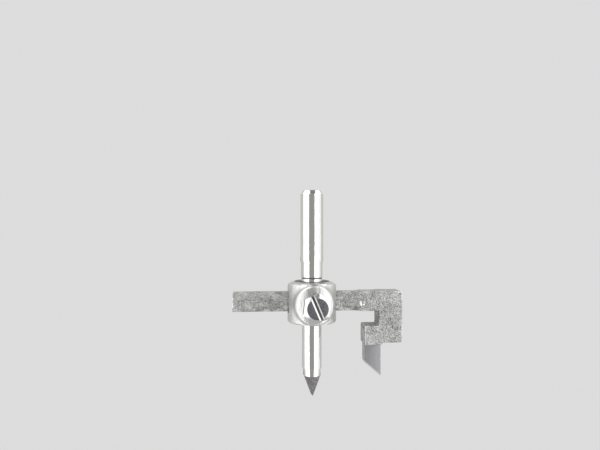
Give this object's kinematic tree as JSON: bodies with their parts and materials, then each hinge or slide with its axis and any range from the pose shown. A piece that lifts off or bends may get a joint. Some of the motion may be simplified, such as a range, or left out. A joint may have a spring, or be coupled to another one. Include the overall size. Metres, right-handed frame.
{
  "type": "circle cutter",
  "caption": "Adjustable circle cutter for tiles: drive shank, hub with clamp screw, carbide pilot point and a sliding C-headed arm that carries a carbide blade.",
  "frame": {"origin": "centre of the drive shank's end face", "axes": "+Z along the spindle, from the pilot point to the shank's end; +X along the arm to the blade; the clamp screw's head faces -Y"},
  "size_m": [0.0701, 0.0305, 0.0842],
  "materials": {
    "polished_steel": "mirror-bright nickel plate",
    "satin_zinc": "bright zinc plate, satin",
    "cast_zinc": "rough casting, zinc plated",
    "ground_carbide": "matte, ground at the cutting edge",
    "dark_carbide": "rough, as sintered",
    "dull_steel": "plated, dull top face with bright edges"
  },
  "bodies": {
    "spindle": {"drive_shank": "polished_steel", "hub": "satin_zinc", "pilot_rod": "polished_steel", "pilot_point": "dark_carbide"},
    "clamp_screw": {"arm_clamp_screw": "dull_steel"},
    "arm": {"cutter_arm": "cast_zinc"},
    "blade": {"cutter_blade": "ground_carbide"},
    "grub_screw": {"blade_grub_screw": "dull_steel"}
  },
  "joints": [
    {"name": "arm_slide", "type": "slide", "parent": "spindle", "child": "arm", "axis": [1, 0, 0], "range_m": [-0.0175, 0.0211]},
    {"name": "clamp_screw_turn", "type": "hinge", "parent": "spindle", "child": "clamp_screw", "pos_m": [0, -0.0125, -0.0457], "axis": [0, -1, 0], "range_deg": [0, 720]},
    {"name": "blade_slide", "type": "slide", "parent": "arm", "child": "blade", "axis": [0, 0, -1], "range_m": [0, 0.002]},
    {"name": "grub_screw_turn", "type": "hinge", "parent": "arm", "child": "grub_screw", "pos_m": [0.02535, 0.005, -0.0601], "axis": [0, 1, 0], "range_deg": [0, 540]}
  ]
}
